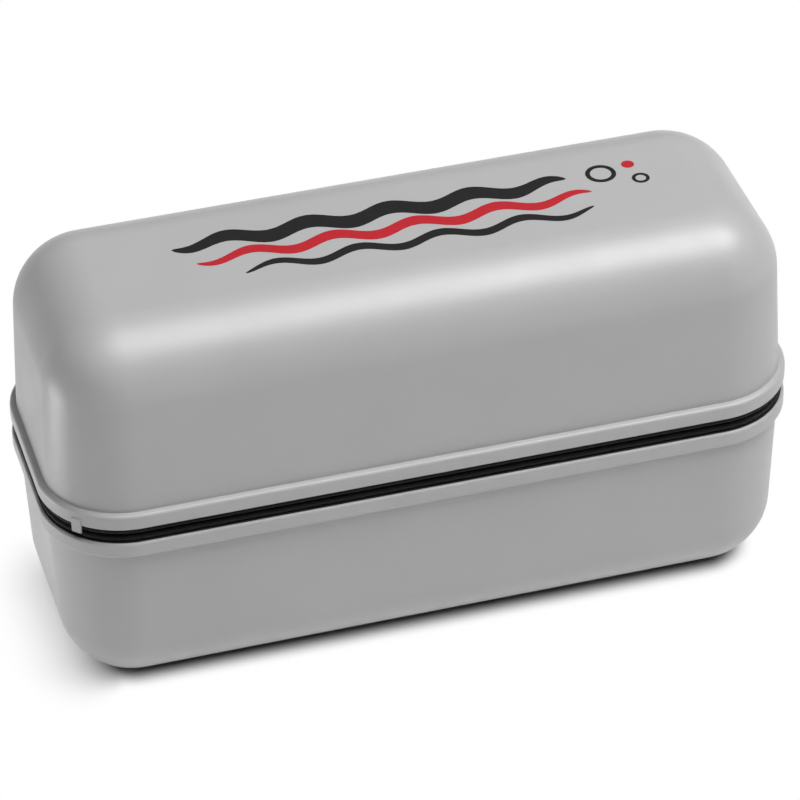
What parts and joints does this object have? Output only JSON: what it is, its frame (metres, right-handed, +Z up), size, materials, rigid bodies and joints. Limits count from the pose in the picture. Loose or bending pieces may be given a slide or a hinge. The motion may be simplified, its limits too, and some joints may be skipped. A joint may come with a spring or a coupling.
{
  "type": "magnetic glass cleaner",
  "caption": "Rounded plastic housings with magnets inside, held pad to pad through an aquarium pane: one is the handle outside, the other scrubs the glass and floats if it comes loose.",
  "frame": {"origin": "centre of the base, where the handle half's crown stands on the floor", "axes": "+X along the cleaner's length, +Y across its width, +Z up from the handle half to the float half"},
  "size_m": [0.1292, 0.0492, 0.0702],
  "materials": {
    "housing_abs": "satin grey moulded ABS",
    "plate_abs": "plain grey moulded ABS",
    "cradle_abs": "plain black moulded ABS",
    "sealant": "cured translucent silicone sealant",
    "adhesive": "black acrylic foam adhesive sheet",
    "felt": "black needled felt",
    "scrub_fibre": "black woven hook-and-loop scrubbing fabric",
    "ferrite": "ground sintered strontium ferrite",
    "mild_steel": "zinc-plated cold-rolled steel",
    "closed_cell_foam": "white closed-cell polyethylene foam"
  },
  "bodies": {
    "handle_half": {"handle_shell": "housing_abs", "handle_base_plate": "plate_abs", "handle_sealant_bead": "sealant", "handle_pad_adhesive": "adhesive", "handle_pad": "felt", "handle_magnet_cradle": "cradle_abs", "handle_magnet_left": "ferrite", "handle_magnet_right": "ferrite", "handle_back_iron": "mild_steel", "handle_foam": "closed_cell_foam"},
    "float_half": {"float_shell": "housing_abs", "float_base_plate": "plate_abs", "float_sealant_bead": "sealant", "float_pad_adhesive": "adhesive", "float_pad": "scrub_fibre", "float_magnet_cradle": "cradle_abs", "float_magnet_left": "ferrite", "float_magnet_right": "ferrite", "float_back_iron": "mild_steel", "float_foam": "closed_cell_foam"}
  },
  "joints": [
    {"name": "float_lift", "type": "slide", "parent": "handle_half", "child": "float_half", "axis": [0, 0, 1], "range_m": [0, 0.06]}
  ]
}
